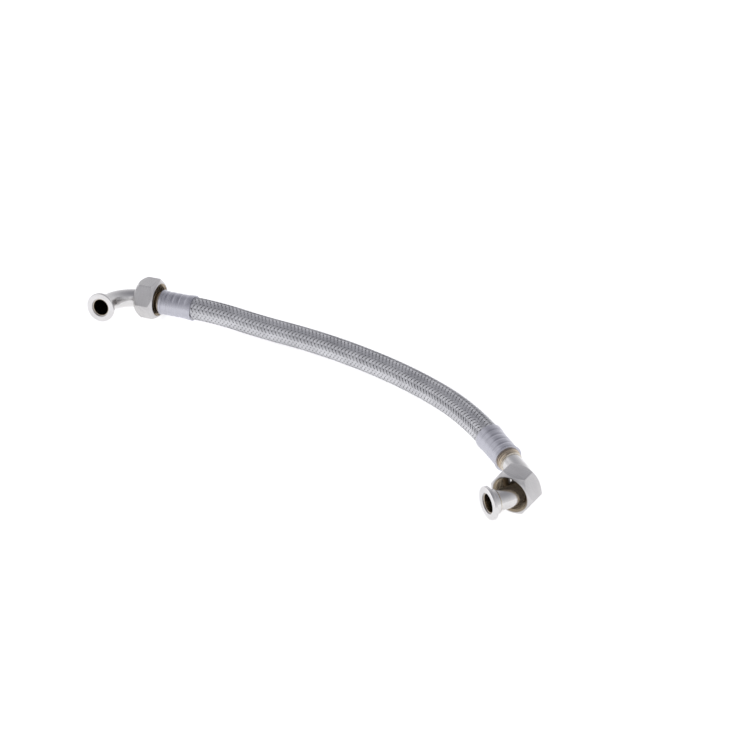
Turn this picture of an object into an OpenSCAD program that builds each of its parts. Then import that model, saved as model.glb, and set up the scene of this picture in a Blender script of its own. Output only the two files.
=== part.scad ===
// Braided supply line: a rubber hose in a woven wire sleeve, with a crimped ferrule, a bent tube,
// a brazed flange and a loose union nut at each end. It lies on the floor with its nuts flat down.
// Units are millimetres, +Z is up and the floor is at z = 0.

/* [Hose] */
// Length of braid that shows between the two ferrules
hose_len = 300; // [240:10:600]
// Outer diameter of the wire braid
braid_d = 19; // [16:0.5:23]
// Thickness of the braid's two layers of wire
braid_wall = 0.8; // [0.5:0.1:1.2]
// Wall of the rubber liner; the hose tails fill its bore
liner_wall = 2.4; // [1.8:0.1:3]

/* [Lie of the hose] */
// Bend radius where the hose sinks from the left ferrule to the floor
left_dip_r = 350; // [200:10:600]
// How far that bend leans out of level, in degrees
left_dip_lean = 63; // [20:1:80]
// Bend radius along the floor
floor_r = 450; // [200:10:1000]
// Bend radius where the hose rises from the floor to the right ferrule
right_rise_r = 245; // [150:5:600]
// How far that bend leans out of level, in degrees
right_rise_lean = 15.5; // [10:0.5:80]

/* [Ferrules] */
// Length of each ferrule
ferrule_len = 29; // [24:1:45]
// Thickness of the ferrule's steel
ferrule_wall = 0.5; // [0.4:0.1:1]
// How far the flared lip stands out from the ferrule
ferrule_lip = 0.6; // [0.3:0.1:1]
// Length of the flared lip at the braid
ferrule_lip_len = 6; // [2:0.5:8]
// Depth of the crimp grooves pressed into the ferrule
crimp_depth = 0.25; // [0.1:0.05:0.35]

/* [Hose tails] */
// Wall of the barbed tail
tail_wall = 1.55; // [1:0.05:2]
// Length of the barbed tail inside the liner
tail_len = 23; // [18:1:24]
// Depth of the grooves between the barbs
barb_depth = 0.6; // [0.3:0.1:0.8]
// How far the collar outside the ferrule stands out from the socket
collar_step = 0.5; // [0.2:0.1:1]
// Length of that collar
collar_len = 1.8; // [1:0.2:3]
// Thickness of the socket wall round the tube
socket_wall = 0.9; // [0.7:0.1:1.5]
// Length of the socket beyond the collar
socket_len = 2.8; // [2:0.2:6]

/* [Bent tubes] */
// Outer diameter of the bent tube
tube_d = 15; // [13:0.5:16]
// Wall of the tube
tube_wall = 1; // [0.7:0.1:1.5]
// Bend radius of the tube's centre line
bend_r = 24; // [20:1:28]
// From the ferrule's end to the crossing of the tube's two legs
hose_leg = 38; // [34:1:60]
// From that crossing to the face of the flange
flange_leg = 37; // [36:1:60]
// How far the left tube is rolled up out of level, in degrees
left_roll = 12; // [0:1:20]

/* [Flanges] */
// How far the flange stands out past the hole of its nut, which pulls on it
flange_grip = 2.2; // [1.5:0.1:3]
// Thickness of the flange
flange_t = 2.5; // [1.5:0.5:4]
// Thickness of the hub behind the flange, round the tube
hub_wall = 1.25; // [0.8:0.05:2]
// Length of the hub
hub_len = 4; // [2:0.5:6]
// How far the tube's end is set back from the flange's face
face_setback = 1; // [0.2:0.1:1.5]
// Bevel on the flange's rims
flange_bevel = 0.4; // [0.2:0.1:0.6]

/* [Union nuts] */
// Length of the nut
nut_len = 17; // [15:1:20]
// Gap between the flange and the crests of the nut's thread
flange_gap = 0.05; // [0.05:0.05:0.5]
// Depth of the thread
thread_depth = 1.15; // [0.8:0.05:1.3]
// How far the nut's mouth is countersunk past the thread
mouth_flare = 0.5; // [0:0.1:0.8]
// Thinnest wall outside the thread, behind a flat
nut_flat_wall = 1.8; // [1.3:0.1:3]
// Thickness of the wall that pulls on the flange
nut_wall = 3; // [2:0.5:4]
// Gap between the hub and the hole in that wall
nut_hole_gap = 1.05; // [0.85:0.05:1.25]
// Length of the thread relief next to the wall
relief_len = 2; // [1.5:0.5:3]
// Least gap between a resting nut and the tube in it
nut_rest_gap = 1; // [0.8:0.1:1.2]
// Gap between the left ferrule and the mouth of the left nut
left_nut_gap = 2.5; // [2:0.5:4]
// How far the left nut has turned from lying flat, in degrees
left_nut_turn = 5; // [0:1:5]
// Where on the bend the right nut hangs, in degrees from the ferrule's side
right_nut_at = 41; // [36:1:44]
// How far the right nut leans past the tube there, in degrees
right_nut_lean = 19; // [10:1:19]

/* [Place] */
// From midway between the two bends to the middle of the floor space, along X
middle_x = 3.5; // [-20:0.5:20]
// The same, along Y
middle_y = 14; // [-20:1:40]

/* [Hidden] */
$fn = 96;
// Sides and steps of the swept hose
SIDES = 12;
DIP_STEPS = 5;
FLOOR_STEPS = 8;
// Slots and clearances that hold the pieces together
lip_t = 1.2;
shoulder_t = 1.6;
groove_gap = 0.2;
socket_depth = 4;
liner_stop = 0.5;
crimp_count = 3;
crimp_width = 2.4;
barb_count = 5;
hex_chamfer = 3.2;
end_face_rim = 0.6;
over = 1;

tube_r = tube_d / 2;
braid_r = braid_d / 2;
liner_r = braid_r - braid_wall;
tail_r = liner_r - liner_wall;

// The flange leg, from the tube outwards: hub, nut's hole, flange, thread and flats of the nut
hub_r = tube_r + hub_wall;
nut_hole_r = hub_r + nut_hole_gap;
rim_r = nut_hole_r + flange_grip;
minor_r = rim_r + flange_gap;
major_r = minor_r + thread_depth;
flat_r = major_r + nut_flat_wall;
nut_rise = nut_hole_r - tube_r - nut_rest_gap;
axis_z = flat_r - nut_rise;
// A nut turned from lying flat stands on one edge, which lifts its middle
left_nut_rise = flat_r / cos(30) * cos(30 - left_nut_turn) - axis_z;
drop = axis_z - braid_r;

bend_x = ferrule_len + hose_leg - bend_r;
shoulder_x = ferrule_len - lip_t - groove_gap - shoulder_t;
hose_stop_x = shoulder_x - liner_stop;
socket_x = ferrule_len + collar_len + socket_len;
socket_r = tube_r + socket_wall;
collar_r = socket_r + collar_step;

// How far the tube has turned aside where the middle of the left nut's wall lies round it
left_nut_x = ferrule_len + left_nut_gap + nut_len;
left_nut_shift = bend_r - sqrt(pow(bend_r, 2) - pow(max(0, left_nut_x - nut_wall / 2 - bend_x), 2));

// ---- The hose's route, from the left ferrule, which points along +X, to the right one ----

UP = [0, 0, 1];
function unit(v) = v / norm(v);
// Level, and to the right of the way the hose runs
function right_of(way) = unit([way.y, -way.x, 0]);
function on_arc(start, way, inward, r, a) = start + r * sin(a) * way + r * (1 - cos(a)) * inward;
function half_turn(v, line) = 2 * (v * line) * line - v;

// A slope is one leaning arc and the same arc turned half round about a level line across its end,
// so it starts and ends level. Its two halves share the height.
function slope_bend(r, lean) = acos(1 - drop / (2 * r * abs(sin(lean))));
function slope_len(r, lean) = 2 * r * slope_bend(r, lean) * PI / 180;
function slope_inward(way, lean) = cos(lean) * right_of(way) + sin(lean) * UP;
function slope_middle_way(way, r, lean) =
    let (a = slope_bend(r, lean))
    cos(a) * way + sin(a) * slope_inward(way, lean);
function slope_points(start, way, r, lean) =
    let (
        a = slope_bend(r, lean),
        inward = slope_inward(way, lean),
        first = [for (i = [0 : DIP_STEPS]) on_arc(start, way, inward, r, a * i / DIP_STEPS)],
        middle = first[DIP_STEPS],
        line = right_of(slope_middle_way(way, r, lean)),
        second = [for (i = [DIP_STEPS - 1 : -1 : 0]) middle + half_turn(first[i] - middle, line)]
    )
    concat(first, second);
function slope_way(way, r, lean) =
    let (line = right_of(slope_middle_way(way, r, lean)))
    -half_turn(way, line);

floor_len = hose_len - slope_len(left_dip_r, left_dip_lean) - slope_len(right_rise_r, right_rise_lean);
floor_bend = floor_len / floor_r * 180 / PI;

start_way = [1, 0, 0];
start_point = [0, 0, axis_z];
dip = slope_points(start_point, start_way, left_dip_r, -left_dip_lean);
dip_way = slope_way(start_way, left_dip_r, -left_dip_lean);
floor_start = dip[2 * DIP_STEPS];
floor_run = [
    for (i = [1 : FLOOR_STEPS])
        on_arc(floor_start, dip_way, right_of(dip_way), floor_r, floor_bend * i / FLOOR_STEPS)
];
floor_way = cos(floor_bend) * dip_way + sin(floor_bend) * right_of(dip_way);
rise = slope_points(floor_run[FLOOR_STEPS - 1], floor_way, right_rise_r, right_rise_lean);
end_way = slope_way(floor_way, right_rise_r, right_rise_lean);
end_point = rise[2 * DIP_STEPS];
end_turn = atan2(end_way.y, end_way.x);

route = concat(
    [start_point - hose_stop_x * start_way],
    dip,
    floor_run,
    [for (i = [1 : 2 * DIP_STEPS]) rise[i]],
    [end_point + hose_stop_x * end_way]
);

// ---- Where the ends stand: the line through the two bends lies along X ----

corner_x = ferrule_len + hose_leg;
left_corner = start_point - corner_x * start_way;
right_corner = end_point + corner_x * end_way;
span = right_corner - left_corner;
span_turn = atan2(span.y, span.x);
span_middle = (left_corner + right_corner) / 2;

module laid_out() {
    translate([-middle_x, -middle_y, 0])
        rotate(-span_turn)
            translate([-span_middle.x, -span_middle.y, 0])
                children();
}

// In an end's own frame the braid enters at the origin, +X runs outwards along the ferrule and
// +Y is the way that the flange leg turns.
module left_end() {
    laid_out() translate(start_point) rotate(180) children();
}

module right_end() {
    laid_out() translate(end_point) rotate(end_turn) mirror([0, 1, 0]) children();
}

module rolled_left_end() {
    left_end() rotate([left_roll, 0, 0]) children();
}

// Turns a shape made along Z so that it runs along X from the given place
module along_x(x = 0) {
    translate([x, 0, 0]) rotate([0, 90, 0]) children();
}

module ring(outer_r, inner_r, length) {
    difference() {
        cylinder(r = outer_r, h = length);
        translate([0, 0, -over]) cylinder(r = inner_r, h = length + 2 * over);
    }
}

// ---- Hose ----

function way_at(i) = unit(route[min(i + 1, len(route) - 1)] - route[max(i - 1, 0)]);
function hose_ring(i, r) =
    let (way = way_at(i), level = right_of(way), upward = cross(level, way))
    [for (k = [0 : SIDES - 1]) let (a = 360 * k / SIDES) route[i] + r * (cos(a) * upward + sin(a) * level)];

// A tube swept along the route. Each quad of faces joins one ring to the next.
module swept_tube(outer_r, inner_r) {
    rings = len(route);
    points = [for (r = [outer_r, inner_r]) for (i = [0 : rings - 1]) each hose_ring(i, r)];
    inner = rings * SIDES;
    last = (rings - 1) * SIDES;
    skin = [
        for (i = [0 : rings - 2]) for (k = [0 : SIDES - 1])
            let (a = i * SIDES + k, b = i * SIDES + (k + 1) % SIDES)
            [a, a + SIDES, b + SIDES, b]
    ];
    lining = [for (f = skin) [inner + f[3], inner + f[2], inner + f[1], inner + f[0]]];
    caps = [
        for (k = [0 : SIDES - 1]) let (b = (k + 1) % SIDES) each [
            [k, b, inner + b, inner + k],
            [last + k, inner + last + k, inner + last + b, last + b]
        ]
    ];
    polyhedron(points, concat(skin, lining, caps), convexity = 6);
}

// Extruded rubber hose. Its flat-sided bore clears the round tail inside it.
module liner() {
    color("dimgray") laid_out() swept_tube(liner_r, tail_r / cos(180 / SIDES));
}

// Woven steel wire sleeve over the liner
module braid() {
    color("darkgray") laid_out() swept_tube(braid_r, liner_r);
}

// ---- Fittings, each made in its end's own frame ----

// Steel sleeve crimped over the braid. Its outer end is turned in to grip the tail's groove.
module ferrule() {
    outer_r = braid_r + ferrule_wall;
    turned_in_r = tube_r + groove_gap;
    pitch = (ferrule_len - ferrule_lip_len - lip_t) / (crimp_count + 1);
    color("lightsteelblue") along_x() difference() {
        union() {
            cylinder(r = outer_r, h = ferrule_len);
            cylinder(r1 = outer_r + ferrule_lip, r2 = outer_r, h = ferrule_lip_len);
            translate([0, 0, ferrule_len - lip_t])
                cylinder(r1 = outer_r, r2 = outer_r + ferrule_lip, h = lip_t);
        }
        translate([0, 0, -over]) cylinder(r = braid_r, h = ferrule_len - lip_t + over);
        cylinder(r = turned_in_r, h = ferrule_len + over);
        for (i = [1 : crimp_count])
            translate([0, 0, ferrule_lip_len + i * pitch - crimp_width / 2])
                ring(outer_r + over, outer_r - crimp_depth, crimp_width);
    }
}

// Barbed tail inside the liner, a shoulder inside the ferrule and a stepped collar outside it
module hose_tail() {
    barb_pitch = tail_len / (barb_count + 0.5);
    color("tan") along_x() difference() {
        union() {
            translate([0, 0, shoulder_x - tail_len]) cylinder(r = tail_r, h = tail_len);
            translate([0, 0, shoulder_x]) cylinder(r = braid_r - groove_gap, h = shoulder_t);
            translate([0, 0, shoulder_x]) cylinder(r = tube_r, h = ferrule_len - shoulder_x);
            translate([0, 0, ferrule_len]) cylinder(r = collar_r, h = collar_len);
            translate([0, 0, ferrule_len]) cylinder(r = socket_r, h = socket_x - ferrule_len);
        }
        cylinder(r = tail_r - tail_wall, h = socket_x + over);
        translate([0, 0, socket_x - socket_depth]) cylinder(r = tube_r, h = socket_depth + over);
        for (i = [1 : barb_count])
            translate([0, 0, shoulder_x - tail_len + (i - 0.5) * barb_pitch])
                ring(tail_r + over, tail_r - barb_depth, barb_pitch / 2);
    }
}

// A rod along the tube's centre line: straight out of the socket, round the bend and to its end
module bent_rod(r, start_x, end_y) {
    along_x(start_x) cylinder(r = r, h = bend_x - start_x);
    translate([bend_x, bend_r, 0]) rotate(-90) rotate_extrude(angle = 90) translate([bend_r, 0]) circle(r);
    translate([bend_x + bend_r, bend_r, 0]) rotate([-90, 0, 0]) cylinder(r = r, h = end_y - bend_r);
}

module bent_tube() {
    start_x = socket_x - socket_depth;
    color("gainsboro") difference() {
        bent_rod(tube_r, start_x, flange_leg - face_setback);
        bent_rod(tube_r - tube_wall, start_x, flange_leg - face_setback);
    }
}

// Concave fillet of filler metal round the tube against a shoulder of the given size
module braze_fillet(size) {
    rotate_extrude() translate([tube_r, 0]) difference() {
        square(size);
        translate([size, size]) circle(size);
    }
}

module tail_braze() {
    color("silver") along_x(socket_x) braze_fillet(socket_wall);
}

// Puts a shape made along Z on the flange leg, so that it runs from the face back to the bend
module at_flange_face(back = 0) {
    translate([bend_x + bend_r, flange_leg - back, 0]) rotate([90, 0, 0]) children();
}

module flange_braze() {
    color("silver") at_flange_face(flange_t + hub_len) braze_fillet(hub_wall);
}

// Flat collar that the union nut pulls on to the washer, with the hub that it is brazed on by
module flange() {
    color("gainsboro") at_flange_face() difference() {
        union() {
            rotate_extrude() polygon([
                [0, 0], [rim_r - flange_bevel, 0], [rim_r, flange_bevel],
                [rim_r, flange_t - flange_bevel], [rim_r - flange_bevel, flange_t], [0, flange_t]
            ]);
            cylinder(r = hub_r, h = flange_t + hub_len);
        }
        translate([0, 0, -over]) cylinder(r = tube_r, h = flange_t + hub_len + 2 * over);
    }
}

// Hexagon nut along +Z: the wall with its hole at z = 0 and the threaded mouth at the far end.
// Two of its flats face along X.
module union_nut() {
    corner_r = flat_r / cos(30);
    face_r = flat_r - end_face_rim;
    flare = thread_depth + mouth_flare;
    color("silver") difference() {
        intersection() {
            rotate(30) cylinder(r = corner_r, h = nut_len, $fn = 6);
            rotate_extrude() polygon([
                [0, 0], [face_r, 0], [corner_r, hex_chamfer],
                [corner_r, nut_len - hex_chamfer], [face_r, nut_len], [0, nut_len]
            ]);
        }
        translate([0, 0, -over]) cylinder(r = nut_hole_r, h = nut_len);
        translate([0, 0, nut_wall]) cylinder(r = minor_r, h = nut_len);
        translate([0, 0, nut_wall]) cylinder(r = major_r, h = relief_len);
        translate([0, 0, nut_len - flare]) cylinder(r1 = minor_r, r2 = minor_r + flare + over, h = flare + over);
    }
}

// ---- Nodes ----

module left_ferrule() { left_end() ferrule(); }
module left_hose_tail() { left_end() hose_tail(); }
module left_tail_braze() { rolled_left_end() tail_braze(); }
module left_bent_tube() { rolled_left_end() bent_tube(); }
module left_flange_braze() { rolled_left_end() flange_braze(); }
module left_flange() { rolled_left_end() flange(); }

// The left nut lies round the hose leg with its mouth towards the ferrule
module left_union_nut() {
    left_end() translate([left_nut_x, left_nut_shift, left_nut_rise])
        rotate([0, -90, 0]) rotate(-left_nut_turn) union_nut();
}

module right_ferrule() { right_end() ferrule(); }
module right_hose_tail() { right_end() hose_tail(); }
module right_tail_braze() { right_end() tail_braze(); }
module right_bent_tube() { right_end() bent_tube(); }
module right_flange_braze() { right_end() flange_braze(); }
module right_flange() { right_end() flange(); }

// The right nut hangs on the bend with its mouth towards the flange
module right_union_nut() {
    right_end()
        translate([
            bend_x + bend_r * sin(right_nut_at),
            bend_r * (1 - cos(right_nut_at)),
            nut_rise
        ])
            rotate(right_nut_at + right_nut_lean)
                along_x(-nut_wall / 2) union_nut();
}

liner();
braid();
left_ferrule();
left_hose_tail();
left_tail_braze();
left_bent_tube();
left_flange_braze();
left_flange();
left_union_nut();
right_ferrule();
right_hose_tail();
right_tail_braze();
right_bent_tube();
right_flange_braze();
right_flange();
right_union_nut();
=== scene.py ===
# %% [markdown]
# # A braided supply line
# A rubber hose in a sleeve of woven steel wire joins a valve to a heater or a tap. Each end has a
# crimped ferrule, a bent plated tube with a brazed flange, and a loose union nut.
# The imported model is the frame: every piece made here lies where its solid lies.

# %% Load the frame
import math

import bpy
import numpy as np
from mathutils import Matrix, Vector


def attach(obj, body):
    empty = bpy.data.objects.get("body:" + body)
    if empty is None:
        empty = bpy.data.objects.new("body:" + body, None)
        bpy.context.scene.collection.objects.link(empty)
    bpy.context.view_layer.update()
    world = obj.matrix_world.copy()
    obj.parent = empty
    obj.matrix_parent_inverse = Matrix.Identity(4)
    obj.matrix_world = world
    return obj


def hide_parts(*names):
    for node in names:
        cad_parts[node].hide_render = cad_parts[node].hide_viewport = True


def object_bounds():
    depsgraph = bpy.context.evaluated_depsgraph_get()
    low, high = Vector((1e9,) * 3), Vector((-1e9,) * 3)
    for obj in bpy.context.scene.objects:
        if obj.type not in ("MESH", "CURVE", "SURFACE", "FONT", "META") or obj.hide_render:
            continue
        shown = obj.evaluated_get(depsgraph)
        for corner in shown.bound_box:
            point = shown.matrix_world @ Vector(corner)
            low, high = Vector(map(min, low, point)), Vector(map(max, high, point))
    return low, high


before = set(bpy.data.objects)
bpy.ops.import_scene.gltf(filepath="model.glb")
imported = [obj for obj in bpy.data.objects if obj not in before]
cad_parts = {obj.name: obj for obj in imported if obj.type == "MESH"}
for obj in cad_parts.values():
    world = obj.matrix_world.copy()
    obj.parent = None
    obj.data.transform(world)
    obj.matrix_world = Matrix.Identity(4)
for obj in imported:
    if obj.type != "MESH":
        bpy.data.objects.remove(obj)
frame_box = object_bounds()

MM = 0.001
print("frame box in mm:", [[round(v / MM, 1) for v in corner] for corner in frame_box])

# %% [markdown]
# ## Stage
# The line lies on a plain white floor. Plated metal shows what stands round it more than its own
# colour. So the floor glows a little and takes no shadow, and the air is bright round the horizon and
# darker overhead, which shades the metal from below to above. Two large lamps stay faint.

# %% Camera
CAMERA_TURN = 39.0
CAMERA_RISE = 34.2
CAMERA_DISTANCE = 1.128
AIM = Vector((0.0172, 0.0415, 0.0))
LENS = 68.9


def camera_on_the_line():
    turn, rise = math.radians(CAMERA_TURN), math.radians(CAMERA_RISE)
    away = Vector((math.sin(turn) * math.cos(rise), -math.cos(turn) * math.cos(rise), math.sin(rise)))
    data = bpy.data.cameras.new("camera")
    data.lens = LENS
    data.clip_start, data.clip_end = 0.05, 20
    camera = bpy.data.objects.new("camera", data)
    camera.location = AIM + away * CAMERA_DISTANCE
    camera.rotation_euler = away.to_track_quat("Z", "Y").to_euler()
    bpy.context.scene.collection.objects.link(camera)
    bpy.context.scene.camera = camera


camera_on_the_line()

# %% Node helper for materials


def shader(name, **sockets):
    """A material with a Principled shader whose plain values are set on its own sockets."""
    material = bpy.data.materials.new(name)
    material.use_nodes = True
    nodes, links = material.node_tree.nodes, material.node_tree.links
    surface = nodes["Principled BSDF"]
    for socket, value in sockets.items():
        surface.inputs[socket.replace("_", " ")].default_value = value
    return material, nodes, links, surface


def stretched_noise(nodes, links, source, stretch, scale, detail=4.0):
    """Noise read through a Mapping node, so its grain can be drawn out along one direction.

    The source is Object, or the name of an attribute that the piece carries.
    """
    if source == "Object":
        coordinates = nodes.new("ShaderNodeTexCoord").outputs["Object"]
    else:
        attribute = nodes.new("ShaderNodeAttribute")
        attribute.attribute_name = source
        coordinates = attribute.outputs["Vector"]
    mapping = nodes.new("ShaderNodeMapping")
    mapping.inputs["Scale"].default_value = stretch
    noise = nodes.new("ShaderNodeTexNoise")
    noise.inputs["Scale"].default_value = scale
    noise.inputs["Detail"].default_value = detail
    links.new(coordinates, mapping.inputs["Vector"])
    links.new(mapping.outputs["Vector"], noise.inputs["Vector"])
    return noise.outputs["Fac"]


def tint_between(nodes, links, factor, low, high, surface, where=(0.35, 0.65)):
    ramp = nodes.new("ShaderNodeValToRGB")
    ramp.color_ramp.elements[0].position, ramp.color_ramp.elements[1].position = where
    ramp.color_ramp.elements[0].color = (*low, 1)
    ramp.color_ramp.elements[1].color = (*high, 1)
    links.new(factor, ramp.inputs["Fac"])
    links.new(ramp.outputs["Color"], surface.inputs["Base Color"])


def roughness_between(nodes, links, factor, low, high, surface):
    spread = nodes.new("ShaderNodeMapRange")
    spread.inputs["From Min"].default_value, spread.inputs["From Max"].default_value = 0.3, 0.7
    spread.inputs["To Min"].default_value, spread.inputs["To Max"].default_value = low, high
    links.new(factor, spread.inputs["Value"])
    links.new(spread.outputs["Result"], surface.inputs["Roughness"])


def relief(nodes, links, height, surface, distance, strength=1.0):
    bump = nodes.new("ShaderNodeBump")
    bump.inputs["Strength"].default_value = strength
    bump.inputs["Distance"].default_value = distance
    links.new(height, bump.inputs["Height"])
    links.new(bump.outputs["Normal"], surface.inputs["Normal"])


# %% Floor and lamps
FLOOR_HALF = 4.0
FLOOR_GLOW = 0.62


def floor_paint():
    material, nodes, links, surface = shader("white_sweep", Roughness=0.9, Specular_IOR_Level=0.1)
    tint_between(nodes, links, stretched_noise(nodes, links, "Object", (1, 1, 1), 2.0),
                 (0.93, 0.93, 0.93), (0.95, 0.95, 0.95), surface)
    surface.inputs["Emission Color"].default_value = (1, 1, 1, 1)
    surface.inputs["Emission Strength"].default_value = FLOOR_GLOW
    return material


def white_floor():
    mesh = bpy.data.meshes.new("floor")
    side = FLOOR_HALF
    corners = [(-side, -side, 0), (side, -side, 0), (side, side, 0), (-side, side, 0)]
    mesh.from_pydata(corners, [], [(0, 1, 2, 3)])
    floor = bpy.data.objects.new("floor", mesh)
    bpy.context.scene.collection.objects.link(floor)
    floor.data.materials.append(floor_paint())
    floor.location.z = frame_box[0].z


def lamp(name, place, size, power, aim=(0, 0, 0)):
    data = bpy.data.lights.new(name, "AREA")
    data.shape, data.size, data.size_y, data.energy = "RECTANGLE", size[0], size[1], power
    light = bpy.data.objects.new(name, data)
    light.location = place
    light.rotation_euler = (Vector(place) - Vector(aim)).to_track_quat("Z", "Y").to_euler()
    bpy.context.scene.collection.objects.link(light)


def studio_air(low, middle, high):
    """Air that is bright round the horizon and darker overhead, as inside a light tent."""
    world = bpy.data.worlds.new("studio_air")
    world.use_nodes = True
    nodes, links = world.node_tree.nodes, world.node_tree.links
    direction = nodes.new("ShaderNodeTexCoord")
    split = nodes.new("ShaderNodeSeparateXYZ")
    ramp = nodes.new("ShaderNodeValToRGB")
    ramp.color_ramp.elements[0].color, ramp.color_ramp.elements[1].color = (*low, 1), (*high, 1)
    ramp.color_ramp.elements.new(0.5).color = (*middle, 1)
    links.new(direction.outputs["Generated"], split.inputs["Vector"])
    links.new(split.outputs["Z"], ramp.inputs["Fac"])
    links.new(ramp.outputs["Color"], nodes["Background"].inputs["Color"])
    bpy.context.scene.world = world


white_floor()
studio_air((0.95, 0.95, 0.97), (0.66, 0.66, 0.69), (0.30, 0.30, 0.33))
lamp("lamp_left", (-1.6, -0.6, 1.6), (1.4, 1.4), 1.5)
lamp("lamp_right", (1.5, -0.9, 1.3), (1.2, 1.2), 1.5)
bpy.context.scene.view_settings.view_transform = "Standard"

# %% [markdown]
# ## The hose's route
# The hose leaves the left ferrule level, sinks to the floor, runs along it in a wide curve, and rises
# to the right ferrule. Each slope is one leaning arc and the same arc turned half round about a
# level line across its end, so it starts and ends level.

# %% Sizes of the line, in metres
HOSE_LEN = 300 * MM
BRAID_R = 9.5 * MM
BRAID_WALL = 0.8 * MM
LINER_BORE_R = 6.3 * MM
NUT_AF = 30 * MM
NUT_HOLE_R = 9.8 * MM
TUBE_R = 7.5 * MM
NUT_REST_GAP = 1.0 * MM
NUT_RISE = NUT_HOLE_R - TUBE_R - NUT_REST_GAP
AXIS_Z = NUT_AF / 2 - NUT_RISE
LEFT_DIP_R, LEFT_DIP_LEAN = 350 * MM, math.radians(-63)
FLOOR_R = 450 * MM
RIGHT_RISE_R, RIGHT_RISE_LEAN = 245 * MM, math.radians(15.5)
FERRULE_LEN = 29 * MM
HOSE_LEG = 38 * MM
FLANGE_LEG = 37 * MM
BEND_R = 24 * MM
LEFT_ROLL = math.radians(12)
MIDDLE = Vector((3.5 * MM, 14 * MM, 0))
UP = Vector((0, 0, 1))

# %% Arcs that make up the route
SLOPE_STEPS = 12
FLOOR_STEPS = 24


def right_of(way):
    return Vector((way.y, -way.x, 0)).normalized()


def on_arc(start, way, inward, radius, angle):
    return start + radius * math.sin(angle) * way + radius * (1 - math.cos(angle)) * inward


def half_turn(vector, line):
    return 2 * vector.dot(line) * line - vector


def slope_bend(radius, lean):
    drop = AXIS_Z - BRAID_R
    return math.acos(1 - drop / (2 * radius * abs(math.sin(lean))))


def slope(start, way, radius, lean):
    """Points down or up one slope, and the way the hose runs at its end."""
    bend = slope_bend(radius, lean)
    inward = math.cos(lean) * right_of(way) + math.sin(lean) * UP
    first = [on_arc(start, way, inward, radius, bend * i / SLOPE_STEPS) for i in range(SLOPE_STEPS + 1)]
    line = right_of(math.cos(bend) * way + math.sin(bend) * inward)
    second = [first[-1] + half_turn(p - first[-1], line) for p in reversed(first[:-1])]
    return first + second, -half_turn(way, line)


def hose_route():
    """The hose's middle line from ferrule to ferrule, and the way it runs at its far end."""
    slopes = sum(2 * r * slope_bend(r, lean) for r, lean in
                 ((LEFT_DIP_R, LEFT_DIP_LEAN), (RIGHT_RISE_R, RIGHT_RISE_LEAN)))
    floor_bend = (HOSE_LEN - slopes) / FLOOR_R
    dip, way = slope(Vector((0, 0, AXIS_Z)), Vector((1, 0, 0)), LEFT_DIP_R, LEFT_DIP_LEAN)
    side = right_of(way)
    along = [
        on_arc(dip[-1], way, side, FLOOR_R, floor_bend * i / FLOOR_STEPS)
        for i in range(1, FLOOR_STEPS + 1)
    ]
    way = math.cos(floor_bend) * way + math.sin(floor_bend) * side
    rise, way = slope(along[-1], way, RIGHT_RISE_R, RIGHT_RISE_LEAN)
    return dip + along + rise[1:], way


drawn_route, drawn_end_way = hose_route()

# %% Frames of the two ends
# In an end's own frame the braid enters at the origin, +X runs outwards along the ferrule and +Y is
# the way that the flange leg turns.
corner = FERRULE_LEN + HOSE_LEG
left_corner = drawn_route[0] - corner * Vector((1, 0, 0))
right_corner = drawn_route[-1] + corner * drawn_end_way
span = right_corner - left_corner
laid_out = (
    Matrix.Translation(-MIDDLE)
    @ Matrix.Rotation(-math.atan2(span.y, span.x), 4, "Z")
    @ Matrix.Translation(-((left_corner + right_corner) / 2) * Vector((1, 1, 0)))
)
left_end = laid_out @ Matrix.Translation(drawn_route[0]) @ Matrix.Rotation(math.pi, 4, "Z")
left_rolled = left_end @ Matrix.Rotation(LEFT_ROLL, 4, "X")
right_end = (
    laid_out
    @ Matrix.Translation(drawn_route[-1])
    @ Matrix.Rotation(math.atan2(drawn_end_way.y, drawn_end_way.x), 4, "Z")
    @ Matrix.Scale(-1, 4, (0, 1, 0))
)
route = [laid_out @ p for p in drawn_route]
print("hose length in mm:", round(sum((b - a).length for a, b in zip(route, route[1:])) / MM, 2))

# %% [markdown]
# ## Two helpers for the metal parts
# Nearly every fitting is one closed outline swept round an axis or along a path. Spin, Screw or a
# bevelled curve would do it too. A grid of points from numpy keeps the faces even, closes the seam
# by itself, and lets each point carry where it lies on the part, so that the finish can follow the
# lathe's turning and not the room.

# %% Skin over a closed grid
SHARP_EDGE = math.radians(38)


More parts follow.
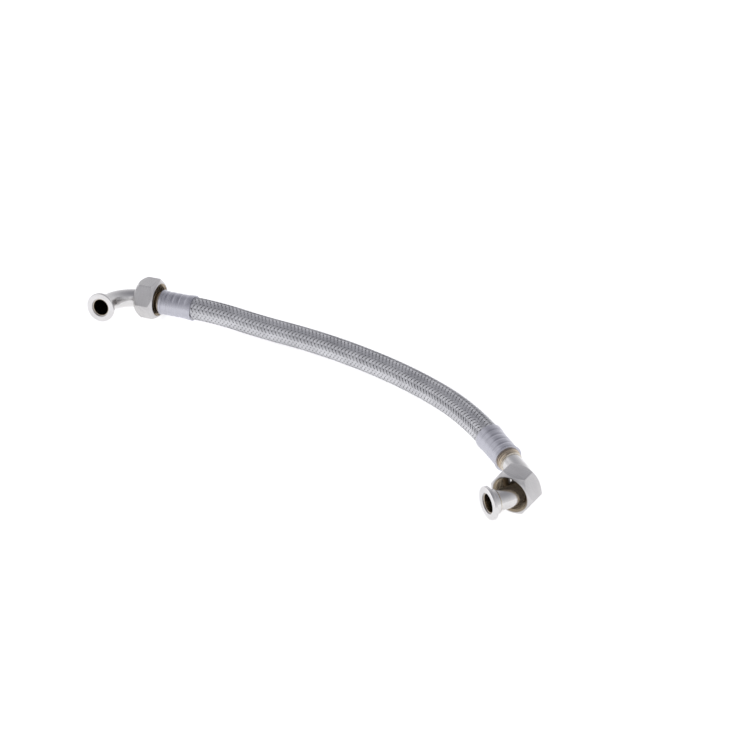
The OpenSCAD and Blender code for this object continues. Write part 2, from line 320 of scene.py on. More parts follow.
def wrapped_skin(name, grid, lay, place, finish, inside=None):
    """A closed skin over a grid of points that wraps both ways, carried into place.

    lay says where each point is on the part itself: along it, and across it twice.
    """
    rows, columns = grid.shape[:2]
    index = np.arange(rows * columns).reshape(rows, columns)
    corners = [index, np.roll(index, -1, 1), np.roll(index, (-1, -1), (0, 1)), np.roll(index, -1, 0)]
    quads = np.stack(corners, -1).reshape(-1, 4)
    matrix = np.array(place)
    points = grid.reshape(-1, 3) @ matrix[:3, :3].T + matrix[:3, 3]
    a, b, c, d = (points[quads[:, k]] for k in range(4))
    if (np.einsum("ij,ij->i", a, np.cross(b, c)) + np.einsum("ij,ij->i", a, np.cross(c, d))).sum() < 0:
        quads = quads[:, ::-1]
    mesh = bpy.data.meshes.new(name)
    mesh.from_pydata(points.tolist(), [], quads.tolist())
    carried = mesh.attributes.new("lay", "FLOAT_VECTOR", "POINT")
    carried.data.foreach_set("vector", (lay.reshape(-1, 3) / MM).astype(np.float32).ravel())
    # inside holds each row's share of painted shade, which the plated finish turns into a darker brown.
    if inside is not None:
        shade = mesh.attributes.new("inside", "FLOAT", "POINT")
        shares = np.broadcast_to(inside[:, None], (rows, columns))
        shade.data.foreach_set("value", shares.astype(np.float32).ravel())
    mesh.polygons.foreach_set("use_smooth", [True] * len(mesh.polygons))
    mesh.set_sharp_from_angle(angle=SHARP_EDGE)
    mesh.materials.append(finish)
    piece = bpy.data.objects.new(name, mesh)
    bpy.context.scene.collection.objects.link(piece)
    print(f"{name}: {2 * len(quads)} triangles")
    return piece


# %% Outline with softened corners
def softened(corners, soften=0.15 * MM, steps=3):
    """A closed outline whose corners become small curves. A corner may bring its own softening."""
    outline = []
    count = len(corners)
    for i, corner in enumerate(corners):
        here = np.array(corner[:2])
        before, after = np.array(corners[i - 1][:2]) - here, np.array(corners[(i + 1) % count][:2]) - here
        reach = corner[2] if len(corner) > 2 else soften
        reach = min(reach, 0.45 * np.linalg.norm(before), 0.45 * np.linalg.norm(after))
        start, end = (here + reach * side / np.linalg.norm(side) for side in (before, after))
        for t in np.linspace(0, 1, steps + 1):
            outline.append((1 - t) ** 2 * start + 2 * t * (1 - t) * here + t**2 * end)
    return np.array(outline)


def turned(name, outline, place, finish, columns=96):
    """Lathe work: an outline of (distance along X, radius) turned round the X axis."""
    round_ = np.arange(columns) * 2 * np.pi / columns
    along, radius = outline[:, 0, None], outline[:, 1, None]
    grid = np.stack(
        [along + 0 * round_, radius * np.cos(round_), radius * np.sin(round_)], -1
    )
    return wrapped_skin(name, grid, grid, place, finish)

# %% [markdown]
# ## Finishes of the fittings
# The tube, flange and nut are nickel plated brass: bright, slightly warm, and softly blurred where
# the blank was not buffed. Colour and roughness drift with large soft noise, and fine lines that
# follow the lathe sit in a bump. The nut's thread and the tube's bore carry painted shade: the same
# material mixes in a darker brown wherever the piece's own attribute says inside.

# %% Nickel plate
def plated(name, low, high, rough, recess_shade=(0.40, 0.335, 0.25)):
    material, nodes, links, surface = shader(name, Metallic=1.0)
    tint_between(nodes, links, stretched_noise(nodes, links, "Object", (1, 1, 1), 60), low, high, surface)
    plate = surface.inputs["Base Color"].links[0].from_socket
    # Painted shade: a darker brown is mixed into the plate's colour wherever the attribute inside is set, in
    # the nut's thread and the tube's bore.
    inside = nodes.new("ShaderNodeAttribute")
    inside.attribute_name = "inside"
    mix = nodes.new("ShaderNodeMix")
    mix.data_type = "RGBA"
    links.new(inside.outputs["Fac"], mix.inputs["Factor"])
    links.new(plate, mix.inputs["A"])
    mix.inputs["B"].default_value = (*recess_shade, 1)
    links.new(mix.outputs["Result"], surface.inputs["Base Color"])
    turning = stretched_noise(nodes, links, "lay", (6.0, 0.05, 0.05), 1.0, 3.0)
    roughness_between(nodes, links, turning, *rough, surface)
    relief(nodes, links, turning, surface, 0.004 * MM)
    return material


nickel_plate = plated("nickel_plate", (0.64, 0.63, 0.625), (0.72, 0.71, 0.705), (0.16, 0.26))
nut_plate = plated("nut_plate", (0.54, 0.53, 0.53), (0.61, 0.60, 0.60), (0.24, 0.36))


# %% Drawn steel, braze metal and collar brass
def drawn_steel():
    """Bluish steel of the ferrules, with fine lines round them from the press tool."""
    material, nodes, links, surface = shader("pressed_steel", Metallic=1.0)
    lines = stretched_noise(nodes, links, "lay", (9.0, 0.04, 0.04), 1.0, 2.0)
    tint_between(nodes, links, lines, (0.47, 0.47, 0.52), (0.55, 0.55, 0.60), surface)
    roughness_between(nodes, links, lines, 0.24, 0.36, surface)
    relief(nodes, links, lines, surface, 0.006 * MM)
    return material


def cooled_braze():
    material, nodes, links, surface = shader("cooled_braze", Metallic=1.0)
    lumps = stretched_noise(nodes, links, "Object", (1, 1, 1), 700)
    tint_between(nodes, links, lumps, (0.60, 0.55, 0.47), (0.74, 0.70, 0.63), surface)
    roughness_between(nodes, links, lumps, 0.25, 0.45, surface)
    relief(nodes, links, lumps, surface, 0.05 * MM)
    return material


def collar_brass():
    material, nodes, links, surface = shader("collar_brass", Metallic=1.0)
    lines = stretched_noise(nodes, links, "lay", (5.0, 0.05, 0.05), 1.0, 2.0)
    tint_between(nodes, links, lines, (0.34, 0.27, 0.19), (0.66, 0.58, 0.48), surface)
    roughness_between(nodes, links, lines, 0.18, 0.34, surface)
    relief(nodes, links, lines, surface, 0.01 * MM)
    return material


ferrule_steel, braze_metal, tail_brass = drawn_steel(), cooled_braze(), collar_brass()
finishes = (nickel_plate, nut_plate, ferrule_steel, braze_metal, tail_brass)
print("fitting finishes:", [m.name for m in finishes])

# %% [markdown]
# ## Rubber liner
# The pressure is held by an extruded rubber hose inside the wire. It is a tube swept along the
# route, a little longer than what shows, because both ends run on into their ferrules. The woven
# sleeve is laid along the same route.

# %% Sizes inside the ferrule
TURNED_IN = 1.2 * MM
GROOVE_GAP = 0.2 * MM
SHOULDER = 1.6 * MM
LINER_STOP = 0.5 * MM
SHOULDER_X = FERRULE_LEN - TURNED_IN - GROOVE_GAP - SHOULDER
HOSE_STOP = SHOULDER_X - LINER_STOP

# %% Route with its two hidden ends
HIDDEN_STEPS = 6


def whole_route():
    first, last = (route[0] - route[1]).normalized(), (route[-1] - route[-2]).normalized()
    steps = [HOSE_STOP * i / HIDDEN_STEPS for i in range(1, HIDDEN_STEPS + 1)]
    return [route[0] + first * s for s in reversed(steps)] + route + [route[-1] + last * s for s in steps]


hose_line = whole_route()


# %% Frames along the hose
def hose_frames(points):
    """For each point: the way the hose runs, the level side of it, and the upper side."""
    line = np.array([tuple(p) for p in points])
    way = np.gradient(line, axis=0)
    way /= np.linalg.norm(way, axis=1)[:, None]
    level = np.stack([way[:, 1], -way[:, 0], 0 * way[:, 0]], 1)
    level /= np.linalg.norm(level, axis=1)[:, None]
    return line, way, level, np.cross(level, way)


# %% Liner mesh
LINER_COLUMNS = 48


def liner_rubber():
    material, nodes, links, surface = shader("hose_rubber", Specular_IOR_Level=0.35)
    grain = stretched_noise(nodes, links, "lay", (0.4, 2.0, 2.0), 1.0)
    tint_between(nodes, links, grain, (0.022, 0.022, 0.024), (0.04, 0.04, 0.042), surface)
    roughness_between(nodes, links, grain, 0.55, 0.75, surface)
    relief(nodes, links, grain, surface, 0.03 * MM)
    return material


def rubber_liner():
    line, way, level, upper = hose_frames(hose_line)
    travelled = np.r_[0, np.cumsum(np.linalg.norm(np.diff(line, axis=0), axis=1))]
    round_ = np.arange(LINER_COLUMNS) * 2 * np.pi / LINER_COLUMNS
    rings, lays = [], []
    for radius, order in ((BRAID_R - BRAID_WALL, 1), (LINER_BORE_R, -1)):
        up_share, level_share = np.cos(round_)[None, :, None], np.sin(round_)[None, :, None]
        side = radius * (up_share * upper[:, None] + level_share * level[:, None])
        rings.append((line[:, None] + side)[::order])
        lay = np.stack([travelled[:, None] + 0 * round_, radius * np.cos(round_) + 0 * travelled[:, None],
                        radius * np.sin(round_) + 0 * travelled[:, None]], -1)
        lays.append(lay[::order])
    return wrapped_skin("rubber_liner", np.concatenate(rings), np.concatenate(lays), Matrix(), liner_rubber())


liner = rubber_liner()

# %% [markdown]
# ## Woven wire sleeve
# The sleeve takes the pressure that would swell the rubber. A braiding machine lays 24 flat ribbons
# of wire, half of them winding each way, and every ribbon passes over two and under two. Modelling
# one crossing and repeating it would leave seams on a curved hose. Geometry Nodes can run the
# ribbons the whole way instead: a strand is a line of points, each point knows how far along it is
# and which carrier laid it, and a short sum turns that into an angle, a radius and a place.

# %% Node helper for shapes
def added(tree, kind, inputs=None, **settings):
    """A new node with its modes set, and each input either joined to a socket or given a value."""
    node = tree.nodes.new(kind)
    for setting, value in settings.items():
        setattr(node, setting, value)
    for key, value in (inputs or {}).items():
        if isinstance(value, bpy.types.NodeSocket):
            tree.links.new(value, node.inputs[key])
        else:
            node.inputs[key].default_value = value
    return node


def sums(tree, operation, *values):
    return added(tree, "ShaderNodeMath", dict(enumerate(values)), operation=operation).outputs[0]


def vectors(tree, operation, *values, output=0):
    return added(tree, "ShaderNodeVectorMath", dict(enumerate(values)), operation=operation).outputs[output]


def scaled(tree, vector, scale):
    return added(tree, "ShaderNodeVectorMath", {0: vector, "Scale": scale}, operation="SCALE").outputs[0]


def joined(tree, *parts):
    return added(tree, "ShaderNodeCombineXYZ", dict(enumerate(parts))).outputs[0]


def named_inputs(tree, **kinds):
    tree.interface.new_socket("Geometry", in_out="OUTPUT", socket_type="NodeSocketGeometry")
    for name, kind in kinds.items():
        tree.interface.new_socket(name, in_out="INPUT", socket_type="NodeSocket" + kind)
    return tree.nodes.new("NodeGroupInput").outputs


def kept(tree, geometry, name, value):
    return added(tree, "GeometryNodeStoreNamedAttribute",
                 {"Geometry": geometry, "Name": name, "Value": value}).outputs[0]


def read(tree, name):
    return added(tree, "GeometryNodeInputNamedAttribute", {"Name": name}).outputs[0]


def run_tree(name, tree, source, **values):
    """Runs the tree once on a source object and returns the result as a plain mesh object."""
    modifier = source.modifiers.new("shape", "NODES")
    modifier.node_group = tree
    for item in tree.interface.items_tree:
        if item.in_out == "INPUT" and item.name in values:
            modifier[item.identifier] = values[item.name]
    bpy.context.view_layer.update()
    made = bpy.data.meshes.new_from_object(source.evaluated_get(bpy.context.evaluated_depsgraph_get()))
    source.modifiers.remove(modifier)
    made.name = name
    piece = bpy.data.objects.new(name, made)
    bpy.context.scene.collection.objects.link(piece)
    made.calc_loop_triangles()
    print(f"{name}: {len(made.loop_triangles)} triangles")
    return piece


# %% Sizes of the weave
CARRIERS = 12
TURN_PITCH = 40.3 * MM
UNDER_FERRULE = 4 * MM
WEAVE_R = 9.06 * MM
WEAVE_LIFT = 0.30 * MM
RIBBON_WIDTH = 1.98 * MM
WIRE = 0.28 * MM
WIRES_IN_RIBBON = 7
STEPS_PER_WAVE = 8
WAVES_PER_TURN = CARRIERS / 2

# %% Section of one ribbon
# Three points round the top of each wire, then two below, on a circle that is bent to shape.
SECTION_POINTS = 3 * WIRES_IN_RIBBON + 3


def ribbon_section(tree, width, wire):
    ring = added(tree, "GeometryNodeCurvePrimitiveCircle", {"Resolution": SECTION_POINTS})
    index = tree.nodes.new("GeometryNodeInputIndex").outputs[0]
    last_top = 3 * WIRES_IN_RIBBON
    below = sums(tree, "GREATER_THAN", index, last_top + 0.5)
    across = sums(tree, "MINIMUM", sums(tree, "DIVIDE", index, last_top), 1.0)
    back = sums(tree, "GREATER_THAN", index, last_top + 1.5)
    across = sums(tree, "SUBTRACT", across, back)
    x = sums(tree, "MULTIPLY", sums(tree, "SUBTRACT", across, 0.5), width)
    arch = sums(tree, "ABSOLUTE", sums(tree, "SINE", sums(tree, "MULTIPLY", index, math.pi / 3)))
    top = sums(tree, "SUBTRACT", sums(tree, "MULTIPLY", arch, 0.55), 0.05)
    height = sums(tree, "MULTIPLY", wire, sums(
        tree, "ADD", sums(tree, "MULTIPLY", top, sums(tree, "SUBTRACT", 1.0, below)),
        sums(tree, "MULTIPLY", below, -0.5)))
    crown = sums(tree, "DIVIDE", sums(tree, "MULTIPLY", x, x), 4 * WEAVE_R)
    moved = added(tree, "GeometryNodeSetPosition", {
        "Geometry": ring.outputs[0],
        "Position": joined(tree, sums(tree, "SUBTRACT", height, crown), x, 0.0)})
    return moved.outputs[0]


# %% Tree that lays the ribbons
def weave_tree():
    tree = bpy.data.node_groups.new("woven_sleeve", "GeometryNodeTree")
    given = named_inputs(tree, Route="Geometry", Ribbons="Int", First="Int", Steps="Int", Turns="Float",
                         Hand="Float", Radius="Float", Lift="Float", Width="Float", Wire="Float",
                         Finish="Material")
    index = tree.nodes.new("GeometryNodeInputIndex").outputs[0]
    strand = added(tree, "GeometryNodeMeshLine", {"Count": given["Steps"]})
    strand = kept(tree, strand.outputs[0], "along",
                  sums(tree, "DIVIDE", index, sums(tree, "SUBTRACT", given["Steps"], 1.0)))
    starts = added(tree, "GeometryNodeMeshLine", {"Count": given["Ribbons"]})
    starts = kept(tree, starts.outputs[0], "carrier", sums(tree, "ADD", index, given["First"]))
    strands = added(tree, "GeometryNodeInstanceOnPoints", {"Points": starts, "Instance": strand})
    strands = added(tree, "GeometryNodeRealizeInstances", {"Geometry": strands.outputs[0]})

    along, carrier = read(tree, "along"), read(tree, "carrier")
    line = added(tree, "GeometryNodeMeshToCurve", {"Mesh": given["Route"]})
    sample = added(tree, "GeometryNodeSampleCurve", {"Curves": line.outputs[0], "Factor": along},
                   mode="FACTOR")
    way = sample.outputs["Tangent"]
    level = vectors(tree, "NORMALIZE", vectors(tree, "CROSS_PRODUCT", way, (0.0, 0.0, 1.0)))
    upper = vectors(tree, "CROSS_PRODUCT", level, way)

    wound = sums(tree, "MULTIPLY", sums(tree, "MULTIPLY", along, given["Turns"]), given["Hand"])
    turned_by = sums(tree, "ADD", wound, sums(tree, "DIVIDE", carrier, CARRIERS))
    angle = sums(tree, "MULTIPLY", turned_by, 2 * math.pi)
    crossings = sums(tree, "ADD", sums(tree, "MULTIPLY", wound, 2 * CARRIERS),
                     sums(tree, "MULTIPLY", carrier, 2.0))
    wave = sums(tree, "COSINE", sums(
        tree, "SUBTRACT", sums(tree, "MULTIPLY", crossings, math.pi / 2), math.pi / 4))
    rise = sums(tree, "MULTIPLY", sums(tree, "MULTIPLY", wave, given["Hand"]), given["Lift"])
    outward = vectors(tree, "ADD", scaled(tree, upper, sums(tree, "COSINE", angle)),
                      scaled(tree, level, sums(tree, "SINE", angle)))
    place = vectors(tree, "ADD", sample.outputs["Position"],
                    scaled(tree, outward, sums(tree, "ADD", given["Radius"], rise)))
    laid = added(tree, "GeometryNodeSetPosition", {"Geometry": strands.outputs[0], "Position": place})

    curves = added(tree, "GeometryNodeMeshToCurve", {"Mesh": laid.outputs[0]})
    facing = added(tree, "GeometryNodeSetCurveNormal", {"Curve": curves.outputs[0], "Normal": outward},
                   mode="FREE")
    ribbons = added(tree, "GeometryNodeCurveToMesh", {
        "Curve": facing.outputs[0], "Profile Curve": ribbon_section(tree, given["Width"], given["Wire"]),
        "Fill Caps": True})
    whole = added(tree, "GeometryNodeRealizeInstances", {"Geometry": ribbons.outputs[0]})
    painted = added(tree, "GeometryNodeSetMaterial",
                    {"Geometry": whole.outputs[0], "Material": given["Finish"]})
    tree.links.new(painted.outputs[0], tree.nodes.new("NodeGroupOutput").inputs[0])
    return tree


# %% Wire finish
def braid_wire():
    """Stainless wire: each ribbon a touch lighter or darker, with a drawn sheen."""
    material, nodes, links, surface = shader("drawn_wire", Metallic=1.0)
    drift = stretched_noise(nodes, links, "Object", (1, 1, 1), 90, 2.0)
    tint_between(nodes, links, drift, (0.56, 0.56, 0.58), (0.68, 0.68, 0.70), surface)
    roughness_between(nodes, links, drift, 0.30, 0.40, surface)
    relief(nodes, links, stretched_noise(nodes, links, "Object", (1, 1, 1), 2600), surface, 0.004 * MM)
    return material


# %% Lay the sleeve along the route
def sleeve_line():
    """The route with a short end under each ferrule, as a bare line of edges."""
    first, last = (route[0] - route[1]).normalized(), (route[-1] - route[-2]).normalized()
    points = [route[0] + first * UNDER_FERRULE, *route, route[-1] + last * UNDER_FERRULE]
    mesh = bpy.data.meshes.new("sleeve_line")
    mesh.from_pydata([tuple(p) for p in points], [(i, i + 1) for i in range(len(points) - 1)], [])
    source = bpy.data.objects.new("sleeve_line", mesh)
    bpy.context.scene.collection.objects.link(source)
    return source, sum((b - a).length for a, b in zip(points, points[1:]))


def woven_sleeve():
    tree, finish = weave_tree(), braid_wire()
    source, length = sleeve_line()
    turns = length / TURN_PITCH
    half = CARRIERS // 2
    pieces = []
    for hand, way_name in ((1.0, "clockwise"), (-1.0, "anticlockwise")):
        for first, part in ((0, "a"), (half, "b")):
            pieces.append(run_tree(
                f"braid_{way_name}_{part}", tree, source, Ribbons=half, First=first,
                Steps=round(turns * WAVES_PER_TURN * STEPS_PER_WAVE), Turns=turns, Hand=hand,
                Radius=WEAVE_R, Lift=WEAVE_LIFT, Width=RIBBON_WIDTH, Wire=WIRE, Finish=finish))
    bpy.data.objects.remove(source)
    return pieces


sleeve = woven_sleeve()

# %% [markdown]
# ## Ferrules
# A ferrule is a short steel tube slipped over the end of the sleeve and squeezed in a press, which
# leaves three shallow grooves. Its mouth is flared so that it can't cut the wires, and its far end
# is turned in behind the hose tail's shoulder. All of it is one outline on the lathe helper.

# %% Ferrule
FERRULE_R = BRAID_R + 0.5 * MM
LIP_R = FERRULE_R + 0.6 * MM
LIP_LEN = 6 * MM
CRIMP_DEPTH = 0.25 * MM
CRIMP_WIDTH = 2.4 * MM
CRIMP_SLOPE = 0.9 * MM
CRIMPS = 3
LIP_STEP = 1.2 * MM
END_RINGS = 2


def ferrule_outline():
    pitch = (FERRULE_LEN - LIP_LEN - TURNED_IN) / (CRIMPS + 1)
    outer = [(0, LIP_R, 0.15 * MM), (LIP_LEN - LIP_STEP, LIP_R - 0.25 * MM, 0.6 * MM),
             (LIP_LEN, FERRULE_R, 0.4 * MM)]
    for i in range(1, CRIMPS + 1):
        middle, half = LIP_LEN + i * pitch, CRIMP_WIDTH / 2
        floor_r = FERRULE_R - CRIMP_DEPTH
        outer += [(middle - half, FERRULE_R, 0.25 * MM), (middle - half + CRIMP_SLOPE, floor_r, 0.25 * MM),
                  (middle + half - CRIMP_SLOPE, floor_r, 0.25 * MM), (middle + half, FERRULE_R, 0.25 * MM)]
    ring = 0.75 * MM
    start = FERRULE_LEN - TURNED_IN - END_RINGS * ring
    for i in range(END_RINGS):
        at = start + i * ring
        outer += [(at, FERRULE_R + 0.04 * MM), (at + 0.18 * MM, FERRULE_R - 0.12 * MM, 0.08 * MM),
                  (at + 0.36 * MM, FERRULE_R + 0.04 * MM, 0.08 * MM)]
    outer += [(FERRULE_LEN - 0.45 * MM, LIP_R, 0.25 * MM), (FERRULE_LEN, LIP_R - 0.1 * MM, 0.15 * MM)]
    inner_r = TUBE_R + GROOVE_GAP
    turn_x = FERRULE_LEN - TURNED_IN
    inner = [(FERRULE_LEN, inner_r), (turn_x, inner_r), (turn_x, BRAID_R), (0, BRAID_R)]
    return softened(outer + inner)


ferrules = [turned("left_crimped_ferrule", ferrule_outline(), left_end, ferrule_steel),
            turned("right_crimped_ferrule", ferrule_outline(), right_end, ferrule_steel)]

# %% [markdown]
# ## Hose tails and their braze
# The hose tail is a turned brass piece: barbs inside the liner, a shoulder held by the ferrule, and
# outside it a stepped collar and a short socket. The bent tube is brazed into that socket, and a
# small hollow fillet of filler metal is left round the joint.

# %% Hose tail
TAIL_R, TAIL_BORE_R, TAIL_LEN = LINER_BORE_R, 4.75 * MM, 23 * MM
BARBS, BARB_DEPTH = 5, 0.6 * MM
COLLAR_R, COLLAR_LEN = 8.9 * MM, 1.8 * MM
SOCKET_R, SOCKET_LEN, SOCKET_DEPTH = TUBE_R + 0.9 * MM, 2.8 * MM, 4 * MM
SOCKET_X = FERRULE_LEN + COLLAR_LEN + SOCKET_LEN


def tail_outline():
    pitch, start = TAIL_LEN / (BARBS + 0.5), SHOULDER_X - TAIL_LEN
    outer = [(start, TAIL_R, 0.3 * MM)]
    for i in range(1, BARBS + 1):
        at = start + (i - 0.5) * pitch
        outer += [(at, TAIL_R), (at, TAIL_R - BARB_DEPTH),
                  (at + pitch / 2, TAIL_R - BARB_DEPTH), (at + pitch / 2, TAIL_R)]
    shoulder_r, groove = BRAID_R - GROOVE_GAP, 0.22 * MM
    outer += [(SHOULDER_X, TAIL_R), (SHOULDER_X, shoulder_r), (SHOULDER_X + SHOULDER, shoulder_r),
              (SHOULDER_X + SHOULDER, TUBE_R), (FERRULE_LEN, TUBE_R, 0.05 * MM),
               (FERRULE_LEN, COLLAR_R, 0.2 * MM)]
    for at in (0.75, 1.25):
        x = FERRULE_LEN + at * MM
        outer += [(x - groove, COLLAR_R, 0.1 * MM), (x, COLLAR_R - groove, 0.08 * MM)]
    outer += [(FERRULE_LEN + COLLAR_LEN, COLLAR_R, 0.25 * MM),
              (FERRULE_LEN + COLLAR_LEN, SOCKET_R, 0.15 * MM),
              (SOCKET_X, SOCKET_R, 0.2 * MM)]
    inner = [(SOCKET_X, TUBE_R, 0.1 * MM), (SOCKET_X - SOCKET_DEPTH, TUBE_R),
             (SOCKET_X - SOCKET_DEPTH, TAIL_BORE_R),
             (start, TAIL_BORE_R)]
    return softened(outer + inner, 0.1 * MM, 2)


tails = [turned("left_barbed_tail", tail_outline(), left_end, tail_brass),
         turned("right_barbed_tail", tail_outline(), right_end, tail_brass)]


# %% Braze fillets
def fillet_outline(size):
    """A corner of filler metal whose face is hollow, seen along the tube."""
    hollow = [(size * (1 - math.cos(t)), TUBE_R + size * (1 - math.sin(t)))
              for t in np.linspace(0, math.pi / 2, 9)]
    hollow = [(x * 0.94 + 0.02 * MM, r) for x, r in hollow]
    root = TUBE_R - 0.02 * MM
    return np.array([(-0.05 * MM, root), (-0.05 * MM, TUBE_R + size)] + hollow + [(size, root)])


def along_tube(x):
    return Matrix.Translation((x, 0, 0))


HUB_WALL, HUB_LEN, FLANGE_T = 1.25 * MM, 4 * MM, 2.5 * MM
BEND_X = FERRULE_LEN + HOSE_LEG - BEND_R
at_flange = Matrix.Translation((BEND_X + BEND_R, FLANGE_LEG, 0)) @ Matrix.Rotation(-math.pi / 2, 4, "Z")
behind_hub = at_flange @ Matrix.Translation((FLANGE_T + HUB_LEN, 0, 0))
tail_fillet, hub_fillet = fillet_outline(0.9 * MM), fillet_outline(HUB_WALL)
brazes = [turned("left_tail_fillet", tail_fillet, left_rolled @ along_tube(SOCKET_X), braze_metal),
          turned("right_tail_fillet", tail_fillet, right_end @ along_tube(SOCKET_X), braze_metal),
          turned("left_hub_fillet", hub_fillet, left_rolled @ behind_hub, braze_metal),
          turned("right_hub_fillet", hub_fillet, right_end @ behind_hub, braze_metal)]

# %% [markdown]
# ## Flanges
# The flange is the flat collar that the nut pulls against the washer. Its hub runs back along the
# tube, and its rims are broken by a small bevel so that they don't cut the washer.

# %% Flange
RIM_R, RIM_BEVEL, FACE_SETBACK = 12 * MM, 0.4 * MM, 1 * MM


def flange_outline():
    hub_r = TUBE_R + HUB_WALL
    return softened([
        (0, TUBE_R, 0.35 * MM), (0, RIM_R, RIM_BEVEL),
        (FLANGE_T, RIM_R, RIM_BEVEL), (FLANGE_T, hub_r, 0.5 * MM),
        (FLANGE_T + HUB_LEN, hub_r, 0.3 * MM), (FLANGE_T + HUB_LEN, TUBE_R, 0.05 * MM)])


flanges = [turned("left_sealing_flange", flange_outline(), left_rolled @ at_flange, nickel_plate),
           turned("right_sealing_flange", flange_outline(), right_end @ at_flange, nickel_plate)]

# %% [markdown]
# ## Bent tubes
# A straight thin tube is bent a quarter turn on a former, then brazed into the tail at one end and
# into the flange at the other. The skin is a ring of points carried along the centre line, out along
# the outer wall and back along the bore, with a rounded edge at both ends.

# %% Bent tube
TUBE_WALL = 1 * MM
TUBE_COLUMNS = 72
BEND_STEPS = 36
EDGE_ROUND = 0.3 * MM


def tube_centre(along):
    """Place and sideways direction on the centre line, for a distance from the bend's start."""
    turn = min(max(along / BEND_R, 0), math.pi / 2)
    straight = along - turn * BEND_R
    way = np.array([math.cos(turn), math.sin(turn), 0])
    aside = np.array([math.sin(turn), -math.cos(turn), 0])
    return np.array([BEND_X, BEND_R, 0]) + BEND_R * aside + straight * way, aside


def bent_tube(name, place):
    start = SOCKET_X - SOCKET_DEPTH - BEND_X
    end = BEND_R * math.pi / 2 + FLANGE_LEG - FACE_SETBACK - BEND_R
    bend = list(np.linspace(0, BEND_R * math.pi / 2, BEND_STEPS + 1))
    stations = [start, start / 2, *bend, (bend[-1] + end) / 2, end]
    outer = [(s, TUBE_R) for s in stations]
    inner = [(s, TUBE_R - TUBE_WALL) for s in reversed(stations)]
    outline = tube_outline(outer, inner)
    round_ = np.arange(TUBE_COLUMNS) * 2 * np.pi / TUBE_COLUMNS
    # Rows on the bore are marked inside, so the finish gives them a darker brown as painted shade.
    inside = np.array([float(radius < TUBE_R - 0.6 * TUBE_WALL) for _, radius in outline])
    grid, lay = [], []
    for along, radius in outline:
        centre, aside = tube_centre(along)
        up, side = radius * np.cos(round_), radius * np.sin(round_)
        grid.append(centre + side[:, None] * aside + up[:, None] * np.array([0, 0, 1.0]))
        lay.append(np.stack([along + 0 * up, side, up], -1))
    return wrapped_skin(name, np.array(grid), np.array(lay), place, nickel_plate, inside)


def tube_outline(outer, inner):
    """The wall's outline, with its four edges rounded at the two cut ends."""
    quarter = [(1 - math.cos(t), 1 - math.sin(t)) for t in np.linspace(0, math.pi / 2, 4)]
    (start, outer_r), (end, inner_r) = outer[0], (outer[-1][0], inner[0][1])
    first_outer = [(start + EDGE_ROUND * a, outer_r - EDGE_ROUND * b) for a, b in quarter]
    last_outer = [(end - EDGE_ROUND * a, outer_r - EDGE_ROUND * b) for a, b in reversed(quarter)]
    first_inner = [(start + EDGE_ROUND * a, inner_r + EDGE_ROUND * b) for a, b in reversed(quarter)]
    last_inner = [(end - EDGE_ROUND * a, inner_r + EDGE_ROUND * b) for a, b in quarter]
    return first_outer + outer[1:-1] + last_outer + last_inner + inner[1:-1] + first_inner


tubes = [bent_tube("left_nickel_tube", left_rolled), bent_tube("right_nickel_tube", right_end)]

# %% [markdown]
# ## Union nuts
# The nut is hexagon bar, drilled, threaded and chamfered at both ends, so each flat ends in an arc
# where the chamfer's cone crosses it. A boolean of a prism and a cone would leave hard edges and
# long thin faces. Here every point is placed by its angle and its row instead: the outside follows
# a hexagon with softened corners, each chamfer arc lies where cone and flat meet, and the thread is
# a wave in the radius that climbs as it goes round.

# %% Sizes of the nut
NUT_LEN, NUT_WALL, RELIEF_LEN = 17 * MM, 3 * MM, 2 * MM
FLAT_R = NUT_AF / 2
CORNER_R = FLAT_R / math.cos(math.pi / 6)
CORNER_ROUND = 0.6 * MM
CHAMFER = 3.2 * MM
FACE_R = FLAT_R - 0.6 * MM
THREAD_MINOR_R, THREAD_MAJOR_R = 12.05 * MM, 13.2 * MM
MOUTH_R = THREAD_MAJOR_R + 0.5 * MM
THREAD_PITCH = 1.814 * MM
ROWS_PER_PITCH = 14

# %% Hexagon with softened corners
CORNER_CENTRE = (FLAT_R - CORNER_ROUND) / math.cos(math.pi / 6)
FLAT_END = math.atan2(CORNER_CENTRE * 0.5, FLAT_R)


def hexagon_angles():
    """Angles round the nut: even steps on each flat, finer ones round each corner."""
    face = [*np.linspace(-FLAT_END, FLAT_END, 21), *np.linspace(FLAT_END, math.pi / 3 - FLAT_END, 6)[1:-1]]
    return np.concatenate([np.array(face) + k * math.pi / 3 for k in range(6)])


def hexagon_radius(angle):
    off = abs((angle + math.pi / 6) % (math.pi / 3) - math.pi / 6)
    if off <= FLAT_END:
        return FLAT_R / math.cos(off)
    from_corner = math.pi / 6 - off
    return CORNER_CENTRE * math.cos(from_corner) + math.sqrt(
        CORNER_ROUND**2 - (CORNER_CENTRE * math.sin(from_corner)) ** 2)


# %% Rows of the nut
def thread_radius(height, angle):
    """Radius of the thread's wave, which fades out at the relief and at the mouth."""
    swing = math.sin(2 * math.pi * height / THREAD_PITCH - angle)
    tooth = 0.5 + 0.5 * math.tanh(1.8 * swing) / math.tanh(1.8)
    runout = max(1 - (height - NUT_WALL - RELIEF_LEN) / (0.5 * THREAD_PITCH), 0)
    radius = THREAD_MINOR_R + (THREAD_MAJOR_R - THREAD_MINOR_R) * max(tooth, runout)
    return max(radius, MOUTH_R - (NUT_LEN - height))


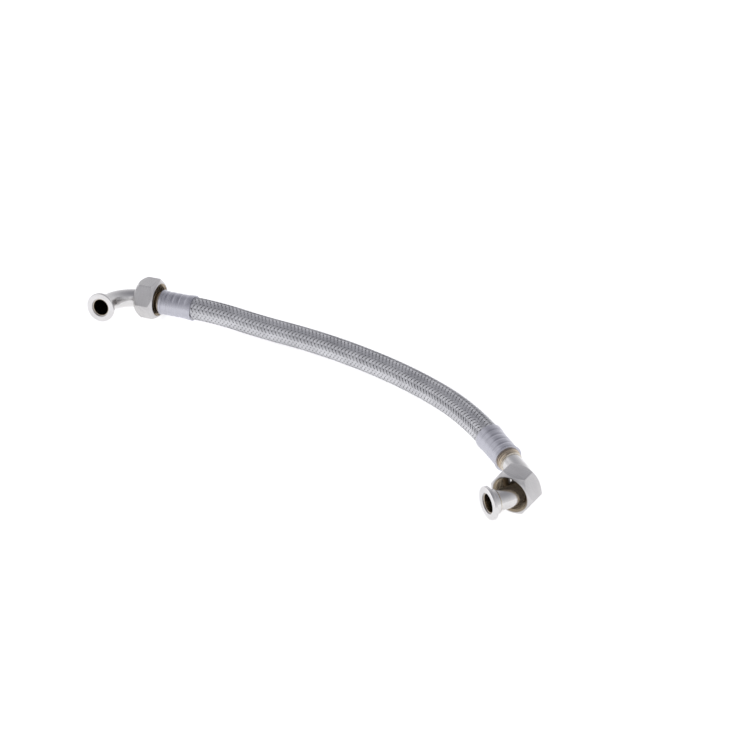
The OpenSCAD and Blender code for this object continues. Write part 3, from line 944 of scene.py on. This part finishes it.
def nut_column(angle):
    """One column of points (height, radius, how far inside, which sets the painted shade), from the hole's
    edge out and back in.
    """
    hexagon = hexagon_radius(angle)
    chamfer = (hexagon - FACE_R) * CHAMFER / (CORNER_R - FACE_R)
    soft = 0.14 * MM
    out = [(0.25 * MM, NUT_HOLE_R, 0.3), (0.0, NUT_HOLE_R + 0.25 * MM, 0),
           (0.0, FACE_R - soft, 0), (soft / 4, FACE_R + soft / 2, 0),
           (chamfer - soft / 2, hexagon - soft, 0), (chamfer - soft / 5, hexagon - soft / 4, 0),
           (chamfer + soft, hexagon, 0),
           (NUT_LEN / 3, hexagon, 0), (2 * NUT_LEN / 3, hexagon, 0)]
    out += [(NUT_LEN - z, r, 0) for z, r, _ in reversed(out[2:7])]
    out += [(NUT_LEN, MOUTH_R + 0.1 * MM, 0), (NUT_LEN - 0.1 * MM, MOUTH_R, 0.2)]
    thread_end = NUT_WALL + RELIEF_LEN
    count = round((NUT_LEN - 0.3 * MM - thread_end) / THREAD_PITCH * ROWS_PER_PITCH)
    # Thread rows are marked fully inside, so they take the darker brown of painted shade.
    for height in np.linspace(NUT_LEN - 0.3 * MM, thread_end, count):
        out.append((height, thread_radius(height, angle), 1))
    soft = 0.2 * MM
    out += [(NUT_WALL + soft, THREAD_MAJOR_R, 1), (NUT_WALL, THREAD_MAJOR_R - soft, 1),
            (NUT_WALL, NUT_HOLE_R + soft, 0.8), (NUT_WALL - soft, NUT_HOLE_R, 0.5)]
    return out


def union_nut(name, place):
    angles = hexagon_angles()
    columns = np.array([nut_column(a) for a in angles]).transpose(1, 0, 2)
    height, radius, inside = columns[..., 0], columns[..., 1], columns[..., 2]
    grid = np.stack([radius * np.cos(angles), radius * np.sin(angles), height], -1)
    lay = np.stack([height, radius * np.cos(angles), radius * np.sin(angles)], -1)
    return wrapped_skin(name, grid, lay, place, nut_plate, inside[:, 0])


# %% Where the nuts lie
def tube_drift(x):
    return BEND_R - math.sqrt(BEND_R**2 - max(0, x - BEND_X) ** 2)


LEFT_NUT_X = FERRULE_LEN + 2.5 * MM + NUT_LEN
LEFT_NUT_TURN = math.radians(5)
LEFT_NUT_RISE = CORNER_R * math.cos(math.pi / 6 - LEFT_NUT_TURN) - AXIS_Z
RIGHT_NUT_AT, RIGHT_NUT_LEAN = math.radians(41), math.radians(19)
left_nut_place = (
    left_end
    @ Matrix.Translation((LEFT_NUT_X, tube_drift(LEFT_NUT_X - NUT_WALL / 2), LEFT_NUT_RISE))
    @ Matrix.Rotation(-math.pi / 2, 4, "Y")
    @ Matrix.Rotation(-LEFT_NUT_TURN, 4, "Z")
)
right_nut_place = (
    right_end
    @ Matrix.Translation((BEND_X + BEND_R * math.sin(RIGHT_NUT_AT),
                          BEND_R * (1 - math.cos(RIGHT_NUT_AT)), NUT_RISE))
    @ Matrix.Rotation(RIGHT_NUT_AT + RIGHT_NUT_LEAN, 4, "Z")
    @ Matrix.Rotation(math.pi / 2, 4, "Y")
    @ Matrix.Translation((0, 0, -NUT_WALL / 2))
)
nuts = [union_nut("left_hexagon_nut", left_nut_place), union_nut("right_hexagon_nut", right_nut_place)]

# %% [markdown]
# ## Join every piece to the frame
# Each piece rides on the body that its solid belongs to and hides that solid. The fittings fixed to
# the hose are one body, the sleeve and the liner are one each, and each nut turns by itself.

# %% Bodies and solids
def stands_for(piece, node, body="line"):
    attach(piece, body)
    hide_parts(node)


for side, k in (("left", 0), ("right", 1)):
    stands_for(ferrules[k], f"{side}_ferrule")
    stands_for(tails[k], f"{side}_hose_tail")
    stands_for(tubes[k], f"{side}_bent_tube")
    stands_for(brazes[k], f"{side}_tail_braze")
    stands_for(brazes[2 + k], f"{side}_flange_braze")
    stands_for(flanges[k], f"{side}_flange")
    stands_for(nuts[k], f"{side}_union_nut", f"{side}_nut")
for strip in sleeve:
    stands_for(strip, "braid")
stands_for(liner, "liner")
